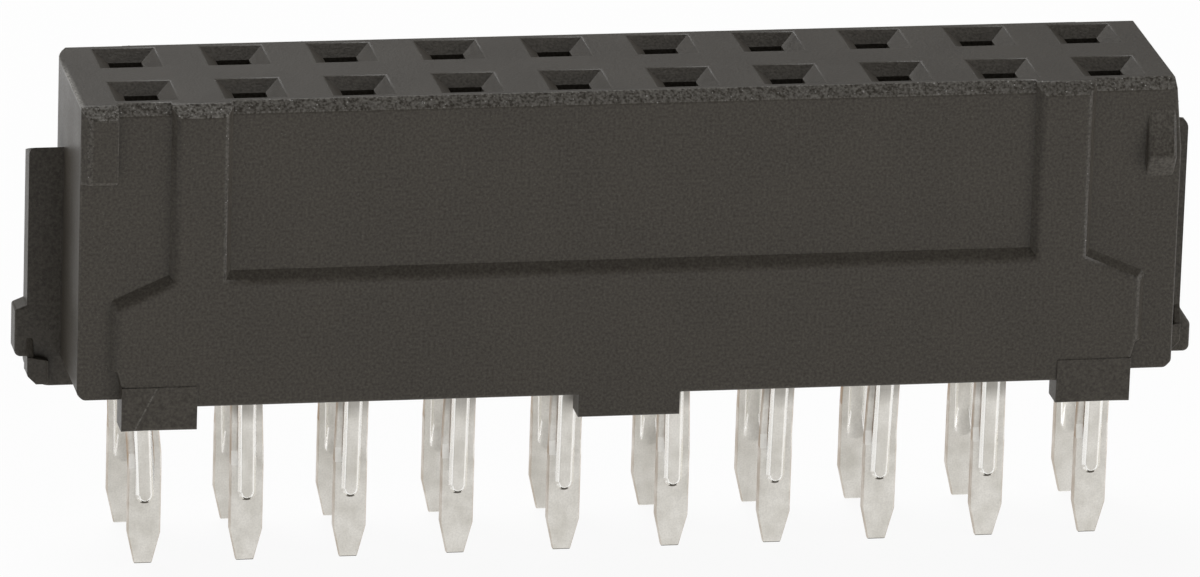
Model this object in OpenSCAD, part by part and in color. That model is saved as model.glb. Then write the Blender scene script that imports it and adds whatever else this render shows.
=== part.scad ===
// Two-row board socket: a moulded housing that holds a grid of stamped contacts.
// Millimetres, +Z up. The origin is the middle of the contact grid, on the board.
// +X runs along the rows and -Y is the front.

/* [Grid] */
// Contacts in each of the two rows
columns = 10; // [2:1:25]
// Distance between neighbouring contacts in a row
pitch = 2; // [1.7:0.05:3]
// Distance between the two rows
row_pitch = 2; // [1.7:0.05:3]

/* [Body] */
// From the last contact's axis to the end of the body
end_margin = 1.25; // [1:0.05:2]
// From a row's axis to the long face beside it
side_margin = 0.9; // [0.8:0.05:1.5]
// Height of the top above the board
top_height = 6.2; // [5.6:0.1:9]
// Height of the underside above the board
standoff = 0.57; // [0.3:0.01:0.9]
// Bevel of the body's long top edges
top_bevel = 0.18; // [0.05:0.01:0.25]
// Distance in from a long face at which the bevel of the ribs' and the pad's tops starts
rib_bevel_inset = 0.05; // [0.02:0.01:0.15]
// Lead-in taper of the right end, measured along the top
end_taper = 0.14; // [0.05:0.01:0.3]
// Length of the right end's lead-in taper down from the top
end_taper_length = 1.4; // [0.3:0.05:2]
// Bevel of both ends' lower edges
heel_bevel = 0.12; // [0.05:0.01:0.25]
// Length of the rounded key corner along the left end
key_length = 0.9; // [0.5:0.05:1.2]
// Depth of the rounded key corner along the rear
key_depth = 0.32; // [0.1:0.02:0.45]

/* [Long side frames] */
// How far the ribs, the band and the feet stand out of a long face
frame_proud = 0.15; // [0.05:0.01:0.3]
// Spread of a rib's and the band's sloping sides, from their front out to the long face
frame_slope = 0.13; // [0.02:0.01:0.2]
// Rise of the slope above the band's ledge and shoulders
ledge_slope = 0.2; // [0.1:0.01:0.3]
// Width of an upright rib
rib_width = 0.87; // [0.4:0.01:1.5]
// From the end of the body to the rib beside it
rib_inset = 1.79; // [1.5:0.01:2.5]
// Height of the band's ledge between the ribs, above the board
ledge_height = 2.81; // [2:0.01:4]
// Length of the band's sloping shoulder outside a rib
shoulder_run = 1.06; // [0.5:0.01:1.3]
// Fall of the sloping shoulder
shoulder_fall = 0.47; // [0.1:0.01:0.8]
// How far the band's lip hangs below the underside
lip_drop = 0.14; // [0.05:0.01:0.25]
// Thickness of the lip and the feet, front to back
foot_depth = 0.55; // [0.3:0.01:0.6]
// Width of an outer foot
outer_foot_width = 1.4; // [0.8:0.01:2]
// How far an outer foot stands forward of the band
foot_proud = 0.02; // [0.01:0.005:0.04]
// Width of the middle foot
middle_foot_width = 1.9; // [1:0.05:3]
// From the end of the band in to the outer foot
foot_setback = 0.08; // [0.02:0.01:0.3]
// Height above the board of the bevel's top between band and foot
foot_bevel_height = 1.13; // [0.9:0.01:1.5]
// Rise of the bevel between band and foot
foot_bevel_rise = 0.29; // [0.1:0.01:0.4]

/* [Corner pads] */
// Width of the pad at the left front corner
pad_width = 0.68; // [0.4:0.01:1.2]
// How far the pad stands out of the front
pad_proud = 0.15; // [0.05:0.01:0.3]
// Length of the pad down from the top
pad_length = 1.47; // [0.8:0.01:2.5]
// Bevel of the pad's outer edge
pad_bevel = 0.15; // [0.05:0.01:0.3]
// From the right end in to the lock wedge
wedge_inset = 0.12; // [0.02:0.01:0.3]
// Width of the lock wedge
wedge_width = 0.54; // [0.4:0.01:1]
// How far the wedge's crest stands out of the front
wedge_proud = 0.2; // [0.05:0.01:0.4]
// Start of the wedge, down from the top
wedge_start = 0.6; // [0.3:0.01:1]
// Length of the wedge's ramp
wedge_ramp = 0.88; // [0.5:0.01:1.3]
// Length of the bevel below the wedge's crest
wedge_return = 0.39; // [0.1:0.01:0.6]

/* [End fins] */
// How far a fin reaches out of the end of the body
fin_reach = 0.64; // [0.3:0.01:1]
// From the middle plane back to the fin's front face
fin_front = 0.23; // [0:0.01:0.6]
// Thickness of a fin
fin_thickness = 0.55; // [0.3:0.01:0.8]
// Height of a fin's top above the board
fin_height = 4.76; // [3.5:0.01:5.2]
// Fall of a fin's top towards the rear
fin_fall = 0.2; // [0.05:0.01:0.4]
// Height of a fin's lower edge above the board
fin_clearance = 0.14; // [0.05:0.01:0.25]
// How far a fin's root runs in under the body
fin_root = 0.35; // [0.1:0.01:0.45]
// Round of the left fin's upper corner
left_fin_round = 0.12; // [0.05:0.01:0.3]
// Round of the right fin's upper corner
right_fin_round = 0.22; // [0.05:0.01:0.3]
// Round of the fins' lower corners
fin_heel_round = 0.45; // [0.1:0.01:0.45]
// How far a fin's foot stands forward of the fin
fin_foot_proud = 0.15; // [0.05:0.01:0.25]
// Width of a fin's foot
fin_foot_width = 0.41; // [0.25:0.01:0.6]
// Height of a fin's foot at its outer side, above the board
fin_foot_top = 0.76; // [0.6:0.01:1]
// Fall of the foot's top towards the body
fin_foot_fall = 0.08; // [0.02:0.01:0.15]
// Height of the foot's lower edge above the board
fin_foot_bottom = 0.22; // [0.1:0.01:0.3]
// Bevel of the foot's lower corner
fin_foot_bevel = 0.17; // [0.05:0.01:0.2]
// Width of the ramp from the foot up to the fin's face
fin_ramp_width = 0.13; // [0.05:0.01:0.2]
// Rise of the ramp above the foot
fin_ramp_rise = 0.32; // [0.1:0.01:0.6]
// How far a fin's barb stands out
barb_reach = 0.22; // [0.15:0.01:0.4]
// Round of a barb's lower corner
barb_round = 0.12; // [0.02:0.01:0.14]
// Top of the left barb above the board
left_barb_top = 1.72; // [1.5:0.01:2.5]
// Length of the left barb
left_barb_length = 1; // [0.6:0.01:1.2]
// Fall of the left barb's top
left_barb_fall = 0.09; // [0.02:0.01:0.4]
// Top of the right barb above the board
right_barb_top = 1.02; // [0.95:0.01:2.5]
// Length of the right barb
right_barb_length = 0.88; // [0.6:0.01:0.9]
// Fall of the right barb's top
right_barb_fall = 0.33; // [0.02:0.01:0.4]

/* [Sockets] */
// Side of the square pin that a socket takes
pin_size = 0.5; // [0.4:0.01:0.56]
// Gap on each side of the pin in the throat
throat_gap = 0.06; // [0.03:0.01:0.1]
// Width of the lead-in's slope on each side
lead_in_width = 0.28; // [0.1:0.01:0.4]
// Depth of the lead-in
lead_in_depth = 0.2; // [0.1:0.01:0.4]
// Thickness of the roof over a chamber
roof_thickness = 0.8; // [0.5:0.01:1.2]
// Gap between a contact's channel and its chamber's side walls
chamber_side_gap = 0.15; // [0.05:0.01:0.2]
// Gap between a contact's plate and its chamber's outer wall
chamber_outer_gap = 0.2; // [0.12:0.01:0.25]
// Gap between a contact's channel and its chamber's inner wall
chamber_inner_gap = 0.15; // [0.05:0.01:0.3]

/* [Contacts] */
// Thickness of the strip that a contact is stamped from
sheet = 0.2; // [0.14:0.01:0.24]
// From a socket's axis out to the middle of the tail's thickness
tail_offset = 0.15; // [0.12:0.01:0.2]
// Width of a tail
tail_width = 0.61; // [0.5:0.01:0.9]
// Width of a tail where it leaves the plate
neck_width = 0.57; // [0.5:0.01:0.9]
// Length of a tail below the board
tail_length = 2.89; // [2.6:0.01:4]
// Width of a tail's tip
tip_width = 0.33; // [0.2:0.01:0.48]
// Length of a tail's tapered tip
tip_length = 0.63; // [0.3:0.01:0.8]
// How much thinner the tip's end is than the strip
tip_thinning = 0.08; // [0.02:0.01:0.12]
// Length of the coined flanges below the board
coined_length = 1; // [0.5:0.01:1.6]
// Depth of the coining
coined_depth = 0.04; // [0.01:0.005:0.06]
// Length of the slope at the coining's lower end
coined_slope = 0.05; // [0.02:0.01:0.1]
// Width of the stiffening bead at its foot
bead_width = 0.34; // [0.2:0.01:0.48]
// Width of one of the bead's sloping sides
bead_slope = 0.06; // [0.02:0.01:0.09]
// Height of the bead
bead_height = 0.07; // [0.03:0.01:0.1]
// Length of the bead below the board
bead_length = 1.69; // [1.2:0.01:1.9]

/* [Contact hold] */
// Width of the plate that sits in the housing's slot
plate_width = 1.2; // [1:0.01:1.3]
// Height of the plate
plate_height = 1.1; // [0.9:0.01:1.4]
// Depth of the plate's lower edge above the underside
plate_inset = 0.1; // [0.02:0.01:0.2]
// Gap between the plate and its slot
slot_gap = 0.01; // [0.005:0.005:0.03]
// How far a plate's barb reaches out of its edge
plate_barb = 0.1; // [0.04:0.01:0.12]
// Height of a plate's barb
plate_barb_height = 0.35; // [0.2:0.01:0.4]
// Outer width of the contact's channel
channel_width = 1; // [0.9:0.01:1.1]
// Height of the channel's back above the plate
channel_height = 0.6; // [0.4:0.01:0.8]
// Inner radius of the channel's bends
bend_radius = 0.08; // [0.04:0.01:0.1]
// Length of the channel's side walls past their bends
wall_length = 0.3; // [0.26:0.01:0.4]
// Height of the relief notches at the bends' ends
relief = 0.1; // [0.05:0.01:0.15]
// Width of a spring beam
beam_width = 0.5; // [0.3:0.01:0.5]
// Bite of each beam's nose into the pin's width
nose_bite = 0.05; // [0.02:0.01:0.08]
// Radius of a beam's rounded nose
nose_radius = 0.2; // [0.15:0.01:0.25]
// Length of a beam's flared tip above its nose
flare_length = 0.45; // [0.3:0.01:0.7]
// Gap between the pin and a beam's flared tip
flare_gap = 0.08; // [0.03:0.01:0.12]
// Gap between the beams' tips and the roof
tip_gap = 0.15; // [0.05:0.01:0.3]

/* [Hidden] */
$fn = 48;
// Cuts run this far past the faces they open, and added shapes are rooted this deep in the body
overcut = 1;
rooting = 0.3;
row_names = ["front", "rear"];
moulding_black = [0.25, 0.24, 0.225];
tin_silver = [0.79, 0.77, 0.74];

// Grid and body
grid_length = (columns - 1) * pitch;
half_length = grid_length / 2 + end_margin;
half_depth = row_pitch / 2 + side_margin;
body_height = top_height - standoff;
key_radius = (pow(key_length, 2) + pow(key_depth, 2)) / (2 * key_depth);

// Long side frames, measured from the middle of the part
frame_face = half_depth + frame_proud;
rib_outer = half_length - rib_inset;
rib_inner = rib_outer - rib_width;
band_end = rib_outer + shoulder_run;
shoulder_bottom = ledge_height - shoulder_fall;
band_bottom = standoff - lip_drop;
foot_outer = band_end - foot_setback;
foot_bevel_bottom = foot_bevel_height - foot_bevel_rise;

// Sockets
throat = pin_size + 2 * throat_gap;
mouth = throat + 2 * lead_in_width;
chamber_top = top_height - roof_thickness;
chamber_half = channel_width / 2 + chamber_side_gap;

// Contacts, in a frame on the socket's axis with -Y towards the outside
strip_outer = -tail_offset - sheet / 2;
strip_inner = strip_outer + sheet;
bend_y = strip_inner + bend_radius;
bend_x = channel_width / 2 - sheet - bend_radius;
wall_end = bend_y + wall_length;
plate_bottom = standoff + plate_inset;
plate_top = plate_bottom + plate_height;
channel_bottom = plate_top + relief;
channel_top = channel_bottom + channel_height;
beam_base = channel_top + relief;
wall_top = beam_base + relief;
beam_tip = chamber_top - tip_gap;
nose_z = beam_tip - flare_length;
nose_x = pin_size / 2 - nose_bite;
flare_x = pin_size / 2 + flare_gap;
slot_half = plate_width / 2 + plate_barb + slot_gap;
slot_top = plate_top + slot_gap;
chamber_outer = strip_outer - chamber_outer_gap;
chamber_inner = wall_end + chamber_inner_gap;

function contact_name(row, column) = str("contact_", row, column < 10 ? "_0" : "_", column);
function column_x(column) = (column - 1) * pitch - grid_length / 2;

// An outline drawn in X and Z, extruded along Y
module along_y(from, to)
    translate([0, to, 0]) rotate([90, 0, 0]) linear_extrude(to - from) children();

// An outline drawn in Y and Z, extruded along X
module along_x(from, to)
    translate([from, 0, 0]) rotate([90, 0, 90]) linear_extrude(to - from) children();

// Moves a shape made on a socket's axis to its place in the grid, with the rear row turned about
module at_socket(row, column)
    rotate(row == "rear" ? 180 : 0) translate([column_x(column), -row_pitch / 2, 0]) children();

// Waste outside a rounded corner whose tip is at the origin, for a solid on the -X, -Y side
module corner_waste(radius)
    translate([-radius, -radius]) difference() {
        square(radius + overcut);
        circle(radius);
    }

// The block that the sockets are in, with one rear corner rounded off as a key
module body()
    translate([0, 0, standoff]) linear_extrude(body_height) difference() {
        translate([-half_length, -half_depth]) square([2 * half_length, 2 * half_depth]);
        translate([-half_length, half_depth - key_length]) difference() {
            translate([-overcut, 0]) square([key_depth + overcut, key_length + overcut]);
            translate([key_radius, 0]) circle(key_radius);
        }
    }

// Half of the lower frame that stands out of a long face: lip, bevel above the foot, half of the middle foot
module half_frame_outline() {
    polygon([
        [0, band_bottom], [foot_outer, band_bottom], [foot_outer, foot_bevel_bottom],
        [band_end, foot_bevel_height], [band_end, shoulder_bottom], [0, shoulder_bottom]
    ]);
    square([middle_foot_width / 2, shoulder_bottom]);
}

// Upper outline of the band with its two shoulders, spread to the sides and raised at the ledge
module band_outline(spread, rise) {
    shoulder_rise = rise - spread * shoulder_fall / shoulder_run;
    right_half = [
        [band_end + spread, foot_bevel_height], [band_end + spread, shoulder_bottom + shoulder_rise],
        [rib_outer, ledge_height + rise]
    ];
    polygon(concat(right_half, [for (i = [2:-1:0]) [-right_half[i].x, right_half[i].y]]));
}

// Upright rib on the right, its two sides sloping out to the long face
module rib()
    translate([0, 0, shoulder_bottom]) linear_extrude(top_height - shoulder_bottom)
        polygon([
            [rib_inner, -frame_face], [rib_outer, -frame_face], [rib_outer + frame_slope, -half_depth],
            [rib_outer + frame_slope, rooting - half_depth], [rib_inner - frame_slope, rooting - half_depth],
            [rib_inner - frame_slope, -half_depth]
        ]);

module outer_foot_outline()
    translate([foot_outer - outer_foot_width, 0]) square([outer_foot_width, foot_bevel_bottom]);

module side_frame() {
    for (side = [0, 1]) mirror([side, 0, 0]) rib();
    hull() {
        along_y(-frame_face, -half_depth) band_outline(0, 0);
        along_y(-half_depth, rooting - half_depth) band_outline(frame_slope, ledge_slope);
    }
    along_y(-frame_face, -frame_face + foot_depth) {
        half_frame_outline();
        mirror([1, 0]) half_frame_outline();
    }
    along_y(-frame_face - foot_proud, -frame_face + foot_depth) {
        outer_foot_outline();
        mirror([1, 0]) outer_foot_outline();
    }
}

// Flat pad at the left front corner, bevelled towards the end
module corner_pad()
    translate([-half_length, -half_depth, top_height - pad_length]) linear_extrude(pad_length)
        polygon([
            [0, rooting], [0, 0], [pad_bevel, -pad_proud], [pad_width, -pad_proud], [pad_width, rooting]
        ]);

// Ramp at the right front corner that a mating latch snaps under
module lock_wedge() {
    start = top_height - wedge_start;
    crest = start - wedge_ramp;
    outer = half_length - wedge_inset;
    along_x(outer - wedge_width, outer)
        polygon([
            [-half_depth, start], [-half_depth - wedge_proud, crest], [-half_depth, crest - wedge_return],
            [rooting - half_depth, crest - wedge_return], [rooting - half_depth, start]
        ]);
}

// Upright fin out of the right end, with a barb on its outer edge
module fin(upper_round, top_of_barb, barb_length, barb_fall) {
    outer = half_length + fin_reach;
    tip = outer + barb_reach;
    bottom_of_barb = top_of_barb - barb_length;
    intersection() {
        along_y(fin_front, fin_front + fin_thickness) {
            difference() {
                translate([half_length - fin_root, fin_clearance])
                    square([fin_root + fin_reach, fin_height - fin_clearance]);
                translate([outer, fin_height]) corner_waste(upper_round);
                translate([outer, fin_clearance]) mirror([0, 1]) corner_waste(fin_heel_round);
            }
            difference() {
                polygon([
                    [half_length, bottom_of_barb], [tip, bottom_of_barb],
                    [tip, top_of_barb - barb_fall], [outer, top_of_barb], [half_length, top_of_barb]
                ]);
                translate([tip, bottom_of_barb]) mirror([0, 1]) corner_waste(barb_round);
            }
        }
        along_x(0, tip + overcut)
            polygon([
                [fin_front, 0], [fin_front + fin_thickness, 0],
                [fin_front + fin_thickness, fin_height - fin_fall], [fin_front, fin_height]
            ]);
    }
    fin_foot(outer);
}

// Foot of a fin, forward of its face, and the ramp that runs from the foot up its outer edge
module fin_foot(outer) {
    face = fin_front - fin_foot_proud;
    root = fin_front + fin_thickness / 2;
    inner = outer - fin_foot_width;
    inner_top = fin_foot_top - fin_foot_fall;
    ramp_top = fin_foot_top + fin_ramp_rise;
    along_y(face, root)
        polygon([
            [inner, fin_foot_bottom], [outer - fin_foot_bevel, fin_foot_bottom],
            [outer, fin_foot_bottom + fin_foot_bevel], [outer, fin_foot_top], [inner, inner_top]
        ]);
    along_x(outer - fin_ramp_width, outer)
        polygon([[face, inner_top], [fin_front, ramp_top], [root, ramp_top], [root, inner_top]]);
}

// Bevels along both long top edges, which start this far in from the long faces
module long_bevels(inset) {
    start = half_depth - inset;
    for (turn = [0, 180]) rotate(turn)
        along_x(-half_length - overcut, half_length + overcut)
            polygon([
                [-start, top_height], [-start - overcut, top_height - overcut],
                [-start - overcut, top_height + overcut], [-start, top_height + overcut]
            ]);
}

// Bevels of the ribs' tops and of the ends' lower edges, and the right end's lead-in taper
module edge_bevels() {
    taper_bottom = top_height - end_taper_length;
    long_bevels(rib_bevel_inset);
    along_y(-half_depth - overcut, half_depth + overcut) {
        polygon([
            [half_length, taper_bottom], [half_length + overcut, taper_bottom],
            [half_length + overcut, top_height + overcut], [half_length - end_taper, top_height + overcut],
            [half_length - end_taper, top_height]
        ]);
        for (side = [0, 1]) mirror([side, 0])
            polygon([
                [half_length - heel_bevel, standoff], [half_length + overcut, standoff],
                [half_length + overcut, standoff + heel_bevel + overcut]
            ]);
    }
}

// One socket from the top down: lead-in, throat, chamber, and the slot that holds the contact's plate
module socket() {
    module lead_in_outline()
        polygon([
            [-throat / 2, top_height - lead_in_depth], [throat / 2, top_height - lead_in_depth],
            [mouth / 2, top_height], [mouth / 2, top_height + overcut],
            [-mouth / 2, top_height + overcut], [-mouth / 2, top_height]
        ]);
    intersection() {
        along_x(-mouth, mouth) lead_in_outline();
        along_y(-mouth, mouth) lead_in_outline();
    }
    translate([-throat / 2, -throat / 2, nose_z]) cube([throat, throat, top_height - nose_z]);
    translate([-chamber_half, chamber_outer, 0])
        cube([2 * chamber_half, chamber_inner - chamber_outer, chamber_top]);
    translate([-slot_half, strip_outer - slot_gap, 0])
        cube([2 * slot_half, sheet + 2 * slot_gap, slot_top]);
}

module housing()
    color(moulding_black) difference() {
        union() {
            difference() {
                union() {
                    difference() {
                        body();
                        long_bevels(top_bevel);
                    }
                    for (turn = [0, 180]) rotate(turn) side_frame();
                    corner_pad();
                    lock_wedge();
                }
                edge_bevels();
            }
            fin(right_fin_round, right_barb_top, right_barb_length, right_barb_fall);
            mirror([1, 0, 0]) fin(left_fin_round, left_barb_top, left_barb_length, left_barb_fall);
        }
        for (row = row_names, column = [1:columns]) at_socket(row, column) socket();
    }

// Flat part of a contact seen from the front: tail with its tapered tip, barbed plate, channel's back
module strip_outline() {
    taper_start = tip_length - tail_length;
    polygon([
        [-tip_width / 2, -tail_length], [tip_width / 2, -tail_length], [tail_width / 2, taper_start],
        [tail_width / 2, -coined_length], [neck_width / 2, plate_bottom], [neck_width / 2, plate_top],
        [-neck_width / 2, plate_top], [-neck_width / 2, plate_bottom], [-tail_width / 2, -coined_length],
        [-tail_width / 2, taper_start]
    ]);
    translate([-plate_width / 2, plate_bottom]) square([plate_width, plate_height]);
    translate([-bend_x, plate_bottom]) square([2 * bend_x, channel_top - plate_bottom]);
    for (side = [0, 1]) mirror([side, 0])
        translate([0, plate_bottom + plate_height / 2])
            polygon([
                [0, 0], [plate_width / 2 + plate_barb, 0],
                [plate_width / 2, plate_barb_height], [0, plate_barb_height]
            ]);
}

// The same strip seen from the side: thinned tip and coined flanges
module strip_side()
    polygon([
        [strip_inner, channel_top], [strip_inner, -tail_length], [strip_outer + tip_thinning, -tail_length],
        [strip_outer, tip_length - tail_length], [strip_outer, -coined_length],
        [strip_outer + coined_depth, coined_slope - coined_length],
        [strip_outer + coined_depth, plate_bottom], [strip_outer, plate_bottom], [strip_outer, channel_top]
    ]);

// Stiffening bead on the strip's outer face, with a round lower end, rooted in the strip's thickness
module bead() {
    root = strip_outer + sheet / 2;
    crest = strip_outer - bead_height;
    half = bead_width / 2;
    end_axis = half - bead_length;
    bead_top = plate_bottom + plate_height / 2;
    translate([0, 0, end_axis]) linear_extrude(bead_top - end_axis)
        polygon([
            [-half, root], [half, root], [half, strip_outer],
            [half - bead_slope, crest], [bead_slope - half, crest], [-half, strip_outer]
        ]);
    translate([0, root, end_axis]) rotate([90, 0, 0]) cylinder(h = sheet / 2, r = half);
    translate([0, strip_outer, end_axis]) rotate([90, 0, 0])
        cylinder(h = bead_height, r1 = half, r2 = half - bead_slope);
}

// Cross-section of the channel: back, two round bends and two side walls
module channel_section() {
    module filled(radius, back)
        intersection() {
            union() {
                for (side = [-1, 1]) translate([side * bend_x, bend_y]) circle(radius);
                translate([-bend_x, back]) square([2 * bend_x, wall_end - back]);
                translate([-bend_x - radius, bend_y]) square([2 * (bend_x + radius), wall_end - bend_y]);
            }
            translate([-channel_width, back]) square([2 * channel_width, wall_end - back]);
        }
    difference() {
        filled(bend_radius + sheet, strip_outer);
        filled(bend_radius, strip_inner);
    }
}

// Spring beam on the right: rises from the side wall, closes in to its round nose, then flares
module beam() {
    wall_x = channel_width / 2;
    along_y(-beam_width / 2, beam_width / 2) {
        polygon([
            [wall_x - sheet, beam_base], [wall_x, beam_base], [wall_x, wall_top], [nose_x + sheet, nose_z],
            [flare_x + sheet, beam_tip], [flare_x, beam_tip], [nose_x, nose_z], [wall_x - sheet, wall_top]
        ]);
        intersection() {
            translate([nose_x + nose_radius, nose_z]) circle(nose_radius);
            translate([0, nose_z - nose_radius]) square([nose_x + sheet, 2 * nose_radius]);
        }
    }
}

module contact()
    color(tin_silver) {
        difference() {
            union() {
                intersection() {
                    along_y(strip_outer, strip_inner) strip_outline();
                    along_x(-channel_width, channel_width) strip_side();
                }
                bead();
            }
            translate([0, sheet, 0]) bead();
        }
        translate([0, 0, channel_bottom]) linear_extrude(channel_height) channel_section();
        for (side = [0, 1]) mirror([side, 0, 0]) {
            translate([channel_width / 2 - sheet, bend_y, channel_bottom])
                cube([sheet, wall_length, wall_top - channel_bottom]);
            beam();
        }
    }

housing();
for (row = row_names, column = [1:columns])
    at_socket(row, column) contact();
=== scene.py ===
# %% [markdown]
# # A two-row board socket
#
# The object is a small black connector that is soldered to a circuit board: one moulded housing with
# twenty square sockets, and one stamped metal contact in each socket. The solids of all these pieces come
# from a CAD model. Blender's part is the last tenth of a millimetre: rounded edges, the crumbs that wear
# leaves on them, the grain of the plastic, and the plating and bare cut edges of the metal.
#
# Lengths are written in millimetres and multiplied by `MM`, because Blender works in metres here.

# %% Load the solids
import math
from itertools import combinations

import bpy
import bmesh
from mathutils import Matrix, Vector
from mathutils.geometry import intersect_point_line


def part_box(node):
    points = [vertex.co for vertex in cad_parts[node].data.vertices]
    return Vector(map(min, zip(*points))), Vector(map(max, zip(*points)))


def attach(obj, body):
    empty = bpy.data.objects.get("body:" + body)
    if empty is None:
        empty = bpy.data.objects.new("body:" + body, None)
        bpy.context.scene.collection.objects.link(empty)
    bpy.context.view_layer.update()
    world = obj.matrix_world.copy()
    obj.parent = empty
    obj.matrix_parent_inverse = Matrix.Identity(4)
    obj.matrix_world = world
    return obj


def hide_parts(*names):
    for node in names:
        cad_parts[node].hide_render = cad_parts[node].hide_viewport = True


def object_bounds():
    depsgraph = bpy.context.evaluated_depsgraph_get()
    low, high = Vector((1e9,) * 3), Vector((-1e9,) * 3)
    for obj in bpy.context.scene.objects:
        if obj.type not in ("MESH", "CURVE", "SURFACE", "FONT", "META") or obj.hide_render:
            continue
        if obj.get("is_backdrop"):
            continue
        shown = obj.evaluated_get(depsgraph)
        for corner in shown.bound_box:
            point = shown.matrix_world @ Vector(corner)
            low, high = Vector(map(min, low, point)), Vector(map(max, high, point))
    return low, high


MM = 0.001
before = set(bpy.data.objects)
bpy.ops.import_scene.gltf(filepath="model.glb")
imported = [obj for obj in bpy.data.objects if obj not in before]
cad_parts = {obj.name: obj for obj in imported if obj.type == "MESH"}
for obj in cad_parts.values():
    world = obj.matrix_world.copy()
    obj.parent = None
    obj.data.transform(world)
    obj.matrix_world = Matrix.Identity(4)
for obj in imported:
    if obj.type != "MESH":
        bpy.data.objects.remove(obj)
solid_box = [list(corner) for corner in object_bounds()]
print("solids:", len(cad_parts), "from", [round(c / MM, 2) for c in solid_box[0]],
      "to", [round(c / MM, 2) for c in solid_box[1]], "mm")

# %% [markdown]
# ## The camera
#
# A photograph taken from far away with a long lens shows almost parallel edges, and so does this one.
# Such a view could be set by eye with the camera's handles. It is safer to write it as the point looked at
# and five numbers: how far the camera is turned and raised, how much it is rolled, how far away it stands
# and how many pixels one millimetre covers. The lens follows from the last two. The numbers were found by
# matching the corners of the twenty sockets, whose spacing is known.

# %% Stand the camera where the photograph was taken
PICTURE_WIDTH = 1200
SENSOR_WIDTH = 36.0
VIEW_TURN = math.radians(-10.966)
VIEW_RISE = math.radians(18.556)
VIEW_ROLL = math.radians(1.853)
VIEW_DISTANCE = 211.96 * MM
PIXELS_PER_MM = 53.98
VIEW_TARGET = Vector((-0.223, 0.0, 1.798)) * MM

backward = Vector((math.sin(VIEW_TURN) * math.cos(VIEW_RISE),
                   -math.cos(VIEW_TURN) * math.cos(VIEW_RISE), math.sin(VIEW_RISE)))
level_right = Vector((math.cos(VIEW_TURN), math.sin(VIEW_TURN), 0.0))
level_up = backward.cross(level_right)
right = level_right * math.cos(VIEW_ROLL) + level_up * math.sin(VIEW_ROLL)
up = level_up * math.cos(VIEW_ROLL) - level_right * math.sin(VIEW_ROLL)

lens = bpy.data.cameras.new("photo_lens")
lens.sensor_fit = "HORIZONTAL"
lens.sensor_width = SENSOR_WIDTH
lens.lens = SENSOR_WIDTH * PIXELS_PER_MM / MM * VIEW_DISTANCE / PICTURE_WIDTH
lens.clip_start = 10 * MM
lens.clip_end = 10.0
camera = bpy.data.objects.new("photo_camera", lens)
place = Matrix((right, up, backward)).transposed().to_4x4()
place.translation = VIEW_TARGET + backward * VIEW_DISTANCE
camera.matrix_world = place
bpy.context.scene.collection.objects.link(camera)
bpy.context.scene.camera = camera
print("lens", round(lens.lens, 1), "mm, camera at", [round(c / MM, 1) for c in place.translation], "mm")

# %% [markdown]
# ## Small helpers for shader nodes
#
# A procedural material is a small graph, and building a graph in a script is mostly "make a node, set its
# values, join its sockets". These helpers keep each of those to one line. `grain` is the workhorse: a noise
# texture whose size is given in metres, read from Object coordinates, so that the pattern is fixed to the
# piece and keeps its real scale.

# %% Node helpers
def new_finish(name):
    """An empty node material, with its graph, its output and one Principled shader."""
    finish = bpy.data.materials.new(name)
    finish.use_nodes = True
    graph = finish.node_tree
    graph.nodes.clear()
    output = graph.nodes.new("ShaderNodeOutputMaterial")
    shader = graph.nodes.new("ShaderNodeBsdfPrincipled")
    graph.links.new(shader.outputs[0], output.inputs["Surface"])
    return finish, graph, shader


def math_node(graph, operation, first, second=0.0, clamp=False):
    """One arithmetic step; each operand is a number or another node's socket."""
    node = graph.nodes.new("ShaderNodeMath")
    node.operation = operation
    node.use_clamp = clamp
    for socket, value in zip(node.inputs, (first, second)):
        if isinstance(value, (int, float)):
            socket.default_value = value
        else:
            graph.links.new(value, socket)
    return node.outputs[0]


def grain(graph, size, detail=2.0, stretch=(1, 1, 1)):
    """Noise from 0 to 1 whose lumps are about `size` long, in metres; `stretch` lengthens them by axis."""
    place = graph.nodes.new("ShaderNodeTexCoord")
    scale = graph.nodes.new("ShaderNodeMapping")
    scale.inputs["Scale"].default_value = [1 / (size * s) for s in stretch]
    noise = graph.nodes.new("ShaderNodeTexNoise")
    noise.inputs["Scale"].default_value = 1.0
    noise.inputs["Detail"].default_value = detail
    graph.links.new(place.outputs["Object"], scale.inputs["Vector"])
    graph.links.new(scale.outputs[0], noise.inputs["Vector"])
    return noise.outputs["Fac"]


def between(graph, factor, low, high, from_low=0.0, from_high=1.0):
    """Maps a socket's range to another one and clamps it."""
    node = graph.nodes.new("ShaderNodeMapRange")
    limits = {"From Min": from_low, "From Max": from_high, "To Min": low, "To Max": high}
    for name, value in limits.items():
        node.inputs[name].default_value = value
    graph.links.new(factor, node.inputs["Value"])
    return node.outputs["Result"]


def blend_colours(graph, factor, first, second):
    """Mixes two colours, each a socket or three numbers, by a socket or a share."""
    node = graph.nodes.new("ShaderNodeMix")
    node.data_type = "RGBA"
    for socket, value in ((node.inputs[0], factor), (node.inputs[6], first), (node.inputs[7], second)):
        if isinstance(value, float):
            socket.default_value = value
        elif isinstance(value, tuple):
            socket.default_value = (*value, 1.0)
        else:
            graph.links.new(value, socket)
    return node.outputs[2]


def face_mark(graph, name):
    """Reads an attribute that the mesh step stored on the faces."""
    node = graph.nodes.new("ShaderNodeAttribute")
    node.attribute_name = name
    return node.outputs["Fac"]


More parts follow.
